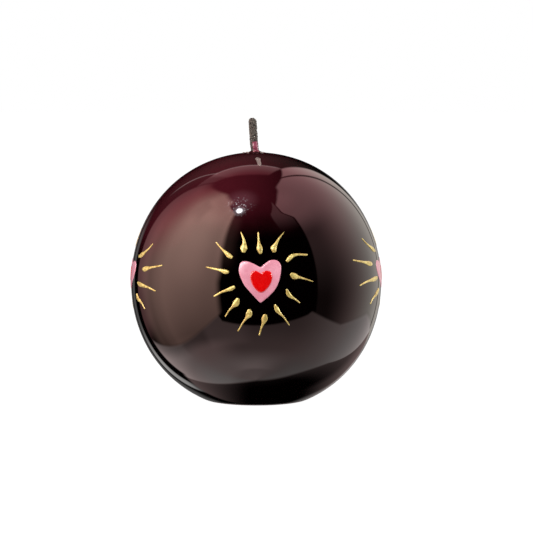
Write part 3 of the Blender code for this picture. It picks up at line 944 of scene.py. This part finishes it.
def wax_run():
    """A run of wax in front of the wick, painted pale partly as a highlight, and curls round its foot
    that are painted highlight.
    """
    bm = bmesh.new()
    path, halves = [], []
    for i in range(RUN_STEPS + 1):
        share = i / RUN_STEPS
        wave = noise.noise(Vector((share * 3.1, 0.4, 2.0)))
        path.append((0.42 + 0.75 * share ** 1.2 + 0.10 * wave, -10.2 - 6.5 * share))
        body = 0.92 - 0.36 * smooth((share - 0.05) / 0.45) + 0.08 * wave
        from_end = min(1.0, (0.5 - abs(share - 0.5)) / 0.16 + 0.02)
        halves.append(max(0.03, body * math.sin(math.pi * from_end / 2)))
    surface_bead(bm, path, halves, high=0.20)
    # the curls: pale beads that stand in for the highlight on the collar's edge
    for start, stop, away, seed in HIGHLIGHT_CURLS:
        path, halves = [], []
        for i in range(CURL_STEPS + 1):
            share = i / CURL_STEPS
            angle = start + (stop - start) * share
            radius = away + 0.35 * noise.noise(Vector((share * 2.5, seed, 0.0)))
            path.append((radius * math.sin(angle), -radius * math.cos(angle)))
            halves.append(0.03 + 0.20 * math.sin(math.pi * share) ** 0.7)
        surface_bead(bm, path, halves, high=0.24)
    build_piece("wax_run_painted_highlight", bm, DRIP, "burgundy_wax_shell")


# ----------------------------------------------------------------- the motifs
# latitude and longitude of each motif's middle, in degrees
PLACES = {"front": (3.645, 1.77), "right": (2.6, 84.0), "left": (2.2, -84.0),
          "back": (3.2, 180.0)}
# heart outlines on the motif's flat layout: across, up (mm)
PINK_OUTLINE = (
    (-0.07, 4.38), (-1.15, 4.95), (-2.34, 5.55), (-3.5, 6.02), (-4.65, 6.18),
    (-5.55, 6.02), (-6.16, 5.45), (-6.45, 4.55), (-6.58, 3.42), (-6.45, 2.3),
    (-6.11, 1.28), (-5.12, -0.86), (-4.25, -2.05), (-3.28, -3.14), (-1.59, -4.98),
    (-0.6, -6.05), (0.09, -6.58), (0.8, -6.15), (2.07, -5.15), (3.1, -4.2),
    (4.08, -3.17), (4.85, -2.1), (5.42, -1.05), (5.9, 0.25), (6.22, 1.55),
    (6.46, 3.0), (6.5, 4.2), (6.35, 5.1), (5.8, 5.95), (4.92, 6.44), (3.68, 6.55),
    (2.59, 6.22), (1.35, 5.3), (0.55, 4.6))
RED_OUTLINE = (
    (0.26, 2.44), (-0.3, 2.78), (-0.95, 3.1), (-1.75, 3.2), (-2.45, 2.95),
    (-2.93, 2.3), (-3.06, 1.3), (-2.86, 0.2), (-2.42, -1.0), (-1.85, -1.95),
    (-1.2, -2.66), (-0.55, -3.2), (0.18, -3.48), (0.9, -3.25), (1.62, -2.78),
    (2.35, -2.0), (3.01, -1.02), (3.42, -0.1), (3.66, 0.9), (3.66, 1.75),
    (3.4, 2.6), (2.82, 3.1), (1.95, 3.24), (1.3, 3.1), (0.75, 2.8))
HEART_STEPS = 132
# A heart's rim: share of the edge width moved in, share of the thickness
HEART_RIM = ((0.00, 0.10), (0.03, 0.30), (0.08, 0.50), (0.15, 0.68),
             (0.24, 0.83), (0.36, 0.94), (0.50, 1.00))

# Gold strokes: five stations from the bulb's end to the tail, each across, up,
# width (mm). The front and back motifs share these.
FRONT_STROKES = (
    (-5.06, 9.17, 1.30, -4.99, 10.2, 2.32, -4.80, 11.6, 1.36, -5.06, 13.2, .85, -5.76, 15.2, .36),
    (.20, 8.78, 1.10, -.10, 10.1, 1.92, -.32, 11.9, 1.00, -.42, 13.2, .60, -.49, 15.2, .50),
    (4.46, 9.22, 1.30, 4.25, 10.2, 1.95, 4.85, 11.4, 1.25, 5.75, 13.0, .73, 7.45, 15.2, .27),
    (8.42, 6.15, 1.05, 9.15, 6.90, 1.42, 10.2, 7.72, 1.25, 12.0, 8.05, .80, 14.8, 7.86, .72),
    (9.70, 2.00, 1.25, 10.6, 1.40, 2.05, 12.2, 1.00, .90, 14.2, .42, .57, 16.7, -.42, .40),
    (8.20, -2.65, .62, 8.75, -4.05, 1.45, 9.75, -5.00, 1.05, 10.8, -5.65, .62, 12.25, -6.75, .50),
    (4.50, -7.30, .62, 5.12, -8.75, 1.52, 6.05, -9.95, .95, 7.30, -11.3, .57, 8.85, -13.6, .45),
    (1.45, -10.5, 1.30, 1.30, -11.7, 2.05, .85, -13.1, .95, .32, -14.6, .60, -.22, -16.7, .50),
    (-3.30, -8.95, 1.25, -3.38, -10.1, 2.12, -4.20, -11.4, .97, -5.25, -12.9, .57, -6.60, -15.4, .45),
    (-6.85, -5.50, 1.20, -7.35, -6.75, 2.12, -8.50, -7.95, .92, -9.55, -9.12, .56, -10.6, -10.9, .45),
    (-8.00, -1.80, .95, -8.87, -2.30, 1.42, -10.25, -2.82, .97, -11.8, -3.40, .80, -14.2, -4.75, .62),
    (-9.90, 2.75, .98, -10.8, 2.80, 1.52, -12.6, 3.30, .94, -14.6, 3.66, .73, -16.9, 4.06, .45),
    (-8.75, 7.32, .98, -9.57, 7.80, 1.60, -10.9, 9.00, 1.03, -12.2, 10.2, .68, -13.7, 11.9, .46),
)
# Side strokes that come round towards the front, by stroke index
LONG_STROKES = {
    "right": {
        12: (-5.7, 7.7, 1, -7.96, 8.34, 1.75, -10.8, 9.7, 1, -12.65, 10.8, .7, -14.4, 12.3, .45),
        11: (-12.05, 3.88, 1, -13.9, 4.13, 1.75, -17, 4.77, .95, -20.2, 5.37, .7, -23.4, 5.95, .5),
        10: (-7.9, -.88, .95, -10.45, -1.03, 1.65, -14.9, -1.2, .95, -18.1, -1.47, .72,
             -21.4, -2.17, .5),
        9: (-6.55, -4.75, 1.1, -8.3, -5.8, 1.85, -10.25, -6.45, 1.1, -12.3, -7.15, .7,
            -13.9, -8.57, .48)},
    "left": {
        3: (9.6, 6.42, 1, 11.84, 7.1, 1.75, 14.1, 8.33, 1, 15.9, 9.48, .7, 17.4, 11, .48),
        4: (14.7, 2.69, 1, 16.3, 2.89, 1.8, 19.2, 3.53, .95, 22.5, 4.13, .7, 25.4, 4.71, .5),
        5: (11.3, -2, .95, 13.3, -2.27, 1.6, 16.9, -2.51, .95, 20.1, -2.87, .72, 23.1, -3.51, .5),
        6: (10, -5.78, 1.1, 10.8, -6.95, 1.8, 12.7, -7.62, 1.1, 14.2, -8.39, .7,
            15.5, -9.72, .48)},
}
# The other side strokes: bulb end across, up, tail across, up, width, bow (mm)
SHORT_STROKES = {
    "right": {
        0: (4.0, 8.9, 4.8, 14.6, 1.9, 0), 1: (6.9, 8.2, 9.9, 13.4, 1.9, -0.2),
        2: (9.6, 6.6, 14.2, 10.5, 1.7, -0.2), 3: (11.1, 4.1, 17.3, 6.3, 1.6, 0),
        4: (11.5, 0.6, 18.2, 0.9, 1.8, 0), 5: (10.6, -3.0, 16.8, -5.0, 1.5, 0.2),
        6: (9.1, -6.1, 13.8, -10.2, 1.6, 0.2), 7: (6.7, -8.2, 9.6, -13.8, 2.0, 0),
        8: (3.9, -9.5, 4.5, -15.6, 2.0, 0)},
    "left": {
        0: (-9.6, 6.6, -14.2, 10.5, 1.7, 0.2), 1: (-6.9, 8.2, -9.9, 13.4, 1.9, 0.2),
        2: (-4.0, 8.9, -4.8, 14.6, 1.9, 0), 7: (-3.9, -9.5, -4.5, -15.6, 2.0, 0),
        8: (-6.7, -8.2, -9.6, -13.8, 2.0, 0), 9: (-9.1, -6.1, -13.8, -10.2, 1.9, -0.2),
        10: (-10.5, -3.2, -16.8, -5.0, 1.5, 0.2), 11: (-11.5, 0.5, -18.2, 0.8, 1.8, 0),
        12: (-11.0, 4.1, -17.1, 6.4, 1.6, 0)},
}
# A short stroke's stations: share of its length, share of its full width
SHORT_TAPER = ((0.0, 0.60), (0.18, 1.0), (0.40, 0.55), (0.65, 0.36), (1.0, 0.22))
STROKE_SIDES = 16


def closed_spline(points, steps):
    """Catmull-Rom curve through a closed outline."""
    points = [Vector(point) for point in points]
    count = len(points)
    out = []
    for i in range(steps):
        along = i * count / steps
        k = int(along)
        t = along - k
        p0, p1, p2, p3 = (points[(k + d) % count] for d in (-1, 0, 1, 2))
        out.append(0.5 * ((2 * p1) + (p2 - p0) * t
                          + (2 * p0 - 5 * p1 + 4 * p2 - p3) * t * t
                          + (3 * p1 - p0 - 3 * p2 + p3) * t ** 3))
    return out


def inset_outline(outline, amount):
    """Move an outline inwards along its normals."""
    count = len(outline)
    out = []
    for i, point in enumerate(outline):
        ahead = outline[(i + 2) % count] - outline[(i - 2) % count]
        ahead.normalize()
        out.append(point + Vector((-ahead.y, ahead.x)) * amount)
    return out


def heart(colour, side, motif, outline, low, thick, edge, material, seed):
    """A pad of thick paint: rounded rim, nearly flat top with brush waves."""
    outline = closed_spline(outline, HEART_STEPS)
    area = sum(p.x * q.y - q.x * p.y for p, q in zip(outline, outline[1:] + outline[:1]))
    if area < 0:
        outline.reverse()
    centre = sum(outline, Vector((0, 0))) / len(outline)
    centre = Vector((centre.x, centre.y * 0.6))
    rings = [(outline, low - 0.06)]
    for inset, lift in HEART_RIM:
        rings.append((inset_outline(outline, inset * edge * 2), lift * thick + low))
    last = rings[-1][0]
    for scale in (0.90, 0.78, 0.66, 0.54, 0.42, 0.30, 0.18, 0.08):
        sag = 0.93 + 0.07 * scale
        rings.append(([centre + (point - centre) * scale for point in last],
                      thick * sag + low))
    bm = bmesh.new()
    loops = []
    for index, (points, lift) in enumerate(rings):
        ring = []
        for x, y in points:
            wave = noise.noise(Vector((x * 0.55 + seed, y * 0.22, seed * 1.7)))
            fine = noise.noise(Vector((x * 1.9, y * 0.7 + seed, 2.0)))
            extra = (0.10 * wave + 0.035 * fine) * thick * (index >= 4)
            ring.append(bm.verts.new(wrap(motif, x, y, lift + extra)))
        loops.append(ring)
    top = bm.verts.new(wrap(motif, centre.x, centre.y, thick * 0.93 + low))
    under = bm.verts.new(wrap(motif, centre.x, centre.y, low - 0.35))
    for i in range(HEART_STEPS):
        j = (i + 1) % HEART_STEPS
        for one, two in zip(loops, loops[1:]):
            bm.faces.new((one[i], one[j], two[j], two[i]))
        bm.faces.new((loops[-1][i], loops[-1][j], top))
        bm.faces.new((loops[0][j], loops[0][i], under))
    build_piece("%s_heart_%s_paint" % (colour, side), bm, material,
                "%s_heart_%s" % (colour, side), sharp=75)


def short_stations(row):
    a0, b0, a1, b1, width, bow = row
    run = math.hypot(a1 - a0, b1 - b0)
    ahead_x, ahead_y = (a1 - a0) / run, (b1 - b0) / run
    out = []
    for share, full in SHORT_TAPER:
        off = -bow * math.sin(math.pi * share) * 0.9
        out.append((a0 + ahead_x * run * share - ahead_y * off,
                    b0 + ahead_y * run * share + ahead_x * off, width * full))
    return out


def curve_at(run, column, along):
    """A column of stations at a distance along the stroke, as a smooth curve."""
    last = len(run) - 1
    k = min(last - 1, max(0, int(np.searchsorted(run, along) - 1)))
    gap = run[k + 1] - run[k]
    t = (along - run[k]) / gap

    def slope(i):
        before, after = max(0, i - 1), min(last, i + 1)
        return (column[after] - column[before]) / (run[after] - run[before])

    return ((2 * t ** 3 - 3 * t * t + 1) * column[k]
            + (t ** 3 - 2 * t * t + t) * gap * slope(k)
            + (3 * t * t - 2 * t ** 3) * column[k + 1]
            + (t ** 3 - t * t) * gap * slope(k + 1))


def stroke_line(stations):
    """Centre points and half widths along a stroke, both ends rounded off."""
    table = np.array(stations, dtype=float).reshape(-1, 3)
    run = np.concatenate([[0], np.cumsum(np.hypot(*np.diff(table[:, :2], axis=0).T))])
    total = run[-1]
    table[:, 2] *= np.interp(run / total, [0, 0.3, 1], [0.96, 0.92, 0.84])
    shares = np.concatenate([np.linspace(0, 0.30, 13), np.linspace(0.34, 1.0, 17)])
    centres, halves = [], []
    for along in shares * total:
        x, y, width = (curve_at(run, table[:, i], along) for i in range(3))
        centres.append(Vector((x, y)))
        halves.append(max(0.10, width / 2))
    first = (centres[0] - centres[1]).normalized()
    last = (centres[-1] - centres[-2]).normalized()
    head, tail = (1.0, 0.92, 0.72, 0.42), (0.5, 0.8, 1.0)

    def cap_half(half, reach, least):
        return half * math.sqrt(max(0.0, 1 - reach * reach)) + least

    return ([centres[0] + first * halves[0] * 0.62 * reach for reach in head] + centres
            + [centres[-1] + last * halves[-1] * reach for reach in tail],
            [cap_half(halves[0], reach, 0.012) for reach in head] + halves
            + [cap_half(halves[-1], reach, 0.010) for reach in tail])


def stroke(name, motif, stations, node, seed, tail_high, bulb_high):
    """A bead of gold paint: a full bulb drawn out into a thin tail."""
    centres, halves = stroke_line(stations)
    bm = bmesh.new()
    rings = []
    for i, (centre, half) in enumerate(zip(centres, halves)):
        ahead = centres[min(i + 1, len(centres) - 1)] - centres[max(i - 1, 0)]
        ahead.normalize()
        across = Vector((-ahead.y, ahead.x))
        x, y = centre
        high = tail_high + (bulb_high - tail_high) * min(1.0, half / 0.95)
        high *= min(1.0, half / 0.16) ** 0.5
        lump = 1 + 0.22 * noise.noise(Vector((x * 0.9 + seed, y * 0.9, seed)))
        ring = []
        for k in range(STROKE_SIDES):
            angle = math.pi * k / (STROKE_SIDES - 1)
            swell = 1 + 0.06 * noise.noise(Vector((x * 2.2, y * 2.2 + k * 0.4, seed)))
            place = centre + across * (half * math.cos(angle) * swell)
            up = math.sin(angle) ** 0.85 * high * lump
            furrow = 0.05 * math.sin(angle * 5 + seed + x) * math.sin(angle) * half
            ring.append(bm.verts.new(wrap(motif, place.x, place.y, up + furrow)))
        for way in (-1, 1):         # rooted below the surface
            root = centre + across * half * 0.9 * way
            ring.append(bm.verts.new(wrap(motif, root.x, root.y, -0.12)))
        rings.append(ring)
    skin(bm, rings)
    build_piece(name, bm, GOLD, node, sharp=65)


def side_stroke(side, i):
    """A stroke's stations, and its height (mm) at the tail and at the bulb."""
    if side not in LONG_STROKES:
        return FRONT_STROKES[i], 0.22, 0.50
    if i in LONG_STROKES[side]:
        return LONG_STROKES[side][i], 0.13, 0.30
    return short_stations(SHORT_STROKES[side][i]), 0.07, 0.12


def motifs():
    for index, (side, degrees) in enumerate(PLACES.items()):
        place = tuple(math.radians(v) for v in degrees)
        flip = -1 if side == "left" else 1
        if side in LONG_STROKES:    # side hearts are painted broader and flatter
            pink_wide, pink_tall = 1.17, 0.735
            red_wide, red_tall, red_shift = 0.806, 0.72, 1.60
            pink_thick, red_top = 0.16, 0.24
        else:
            pink_wide, pink_tall = 1.0, 1.0
            red_wide, red_tall, red_shift = 1.0, 1.0, 0.0
            pink_thick, red_top = 0.40, 0.72
        pink = [(flip * x * pink_wide, y * pink_tall) for x, y in PINK_OUTLINE]
        red = [(flip * (x * red_wide + red_shift), y * red_tall) for x, y in RED_OUTLINE]
        red_low = pink_thick * 0.8
        heart("pink", side, place, pink, low=0.0, thick=pink_thick, edge=0.55,
              material=PINK, seed=index * 5.3 + 1.1)
        heart("red", side, place, red, low=red_low, thick=red_top - red_low, edge=0.42,
              material=RED, seed=index * 4.1 + 2.7)
        for i in range(len(FRONT_STROKES)):
            stations, tail_high, bulb_high = side_stroke(side, i)
            node = ("gold_strokes_back" if side == "back"
                    else "gold_stroke_%s_%02d" % (side, i + 1))
            stroke("gold_bead_%s_%02d" % (side, i + 1), place, stations, node,
                   index * 17.0 + i * 1.37, tail_high, bulb_high)


wax_shell()
wax_core()
sustainer()
wick_cord()
for number in range(STRANDS):
    wick_strand(number)
wick_fibres()
wick_foot_film()
wax_run()
motifs()


# --------------------------------------------------------------------- studio
def lamp_light(tree, direction, degree):
    """The small lamp with the glitter of its facets, and the haze over it."""

    def angle_from(lon, lat):
        lon, lat = math.radians(lon), math.radians(lat)
        dot = tree.nodes.new("ShaderNodeVectorMath")
        dot.operation = "DOT_PRODUCT"
        put(tree, dot.inputs[0], direction)
        dot.inputs[1].default_value = around(math.cos(lat), lon, math.sin(lat))
        cosine = Term(tree, dot.outputs["Value"]).op("MINIMUM", 0.999999)
        return cosine.op("ARCCOSINE") * degree

    core = angle_from(lon=-31.8, lat=64.6)
    over = angle_from(lon=-47, lat=74)
    near = angle_from(lon=-38, lat=69)
    cells = tree.nodes.new("ShaderNodeTexVoronoi")
    fill(tree, cells, {"Vector": direction, "Scale": 44.0})
    dots = Term(tree, cells.outputs["Distance"])
    chance = split(tree, cells.outputs["Color"])
    # the lamp, its halo, bright facets close by and sparser ones round them
    lamp = step(core, 3.0, 1.5) * 42.0 + step(core, 6.5, 2.0) * 2.6
    lamp += (step(near, 10.5, 2.0) * step(dots, 0.42, 0.12)
             * step(chance[0], 0.30, 1.0) * 22.0)
    lamp += (step(near, 13.0, 9.0) * step(dots, 0.40, 0.12)
             * step(chance[1], 0.62, 1.0) * 9.0)
    return (tint(tree, lamp, (0.93, 0.94, 1.0)),
            tint(tree, step(over, 16.0, 3.0) * 1.0, (1.0, 0.45, 0.56)))


def make_world():
    """White to the camera, the studio to reflections, mid grey otherwise."""
    world = bpy.data.worlds.new("product_studio")
    world.use_nodes = True
    bpy.context.scene.world = world
    tree = world.node_tree
    tree.nodes.clear()
    unit = tree.nodes.new("ShaderNodeVectorMath")
    unit.operation = "NORMALIZE"
    put(tree, unit.inputs[0], tree.nodes.new("ShaderNodeTexCoord").outputs["Generated"])
    direction = unit.outputs[0]
    x, y, z = split(tree, direction)
    degree = 180 / math.pi
    turn = x.op("ARCTAN2", -y) * degree
    back_turn = x.op("ARCTAN2", y) * degree
    rise = z.op("ARCSINE") * degree
    channels = studio(x, y, z, turn, rise, back_turn)
    combine = tree.nodes.new("ShaderNodeCombineXYZ")
    for slot, value in enumerate(channels):
        put(tree, combine.inputs[slot], value)
    glossy = add_colours(tree, combine.outputs[0], *lamp_light(tree, direction, degree))
    path = tree.nodes.new("ShaderNodeLightPath")
    colour = mix_colour(tree, path.outputs["Is Glossy Ray"], (0.50, 0.50, 0.50), glossy)
    colour = mix_colour(tree, path.outputs["Is Camera Ray"], colour, (1.0, 1.0, 1.0))
    background = tree.nodes.new("ShaderNodeBackground")
    put(tree, background.inputs["Color"], colour)
    output = tree.nodes.new("ShaderNodeOutputWorld")
    tree.links.new(background.outputs[0], output.inputs[0])
    world.cycles.sampling_method = "NONE"


def floor_material():
    """Grey matte plus a glow, so the floor comes out nearly white."""
    material = bpy.data.materials.new("pale_floor")
    material.use_nodes = True
    tree = material.node_tree
    tree.nodes.clear()
    matte = tree.nodes.new("ShaderNodeBsdfDiffuse")
    matte.inputs["Color"].default_value = (0.10, 0.10, 0.10, 1)
    glow = tree.nodes.new("ShaderNodeEmission")
    glow.inputs["Strength"].default_value = 0.985
    both = tree.nodes.new("ShaderNodeAddShader")
    output = tree.nodes.new("ShaderNodeOutputMaterial")
    tree.links.new(matte.outputs[0], both.inputs[0])
    tree.links.new(glow.outputs[0], both.inputs[1])
    tree.links.new(both.outputs[0], output.inputs[0])
    return material


def make_floor():
    bm = bmesh.new()
    bmesh.ops.create_circle(bm, cap_ends=True, radius=4.0, segments=96)
    mesh = bpy.data.meshes.new("studio_floor")
    bm.to_mesh(mesh)
    bm.free()
    floor = bpy.data.objects.new("studio_floor", mesh)
    floor.location = (0, 0, -0.00002)
    bpy.context.scene.collection.objects.link(floor)
    mesh.materials.append(floor_material())
    floor.visible_glossy = False
    floor.visible_diffuse = False


# Soft lights: name, place, disc diameter, watts, colour
LIGHTS = (
    ("front_soft_light", (-0.35, -0.75, 0.55), 0.6, 8.0, (1, 0.985, 0.96)),
    ("right_soft_light", (0.90, -0.16, 0.32), 0.35, 6.0, (1, 0.99, 0.97)),
    ("left_soft_light", (-0.90, -0.16, 0.32), 0.35, 4.2, (1, 0.99, 0.97)))
LIGHT_AIM = (0, 0, 0.05)


def make_lights():
    """Lights for everything but the lacquered shell."""
    receivers = bpy.data.collections.new("front_light_receivers")
    for obj in list(bpy.context.scene.objects):
        if obj.type == "MESH" and not obj.name.startswith("lacquered_wax"):
            receivers.objects.link(obj)
            if obj.name.startswith("wick_") and "sustainer" not in obj.name:
                # a styling choice: the lacquer doesn't mirror the wick
                obj.visible_glossy = False
    for name, place, size, watts, colour in LIGHTS:
        data = bpy.data.lights.new(name, "AREA")
        data.shape = "DISK"
        data.size = size
        data.energy = watts
        data.color = colour
        light = bpy.data.objects.new(name, data)
        bpy.context.scene.collection.objects.link(light)
        light.location = place
        light.rotation_mode = "QUATERNION"
        aim = Vector(LIGHT_AIM) - Vector(place)
        light.rotation_quaternion = aim.to_track_quat("-Z", "Y")
        light.visible_camera = False
        light.light_linking.receiver_collection = receivers


CAMERA_ELEVATION = math.radians(5.5)
CAMERA_DISTANCE = 0.720576461
CAMERA_LENS = 151.969981238     # focal length in mm


def make_camera():
    """Camera in front of the candle, slightly above, aimed at the ball's middle."""
    data = bpy.data.cameras.new("camera")
    data.lens = CAMERA_LENS
    data.sensor_width = 36
    data.shift_x = 0.01944
    data.shift_y = 0.01968
    data.clip_start, data.clip_end = 0.01, 20
    camera = bpy.data.objects.new("camera", data)
    bpy.context.scene.collection.objects.link(camera)
    back = around(math.cos(CAMERA_ELEVATION), 0.0, math.sin(CAMERA_ELEVATION))
    camera.location = Vector((0, 0, BALL_MID_Z)) + back * CAMERA_DISTANCE
    camera.rotation_mode = "QUATERNION"
    camera.rotation_quaternion = (-back).to_track_quat("-Z", "Y")
    bpy.context.scene.camera = camera


make_world()
make_floor()
make_lights()
make_camera()
bpy.context.scene.view_settings.view_transform = "Standard"
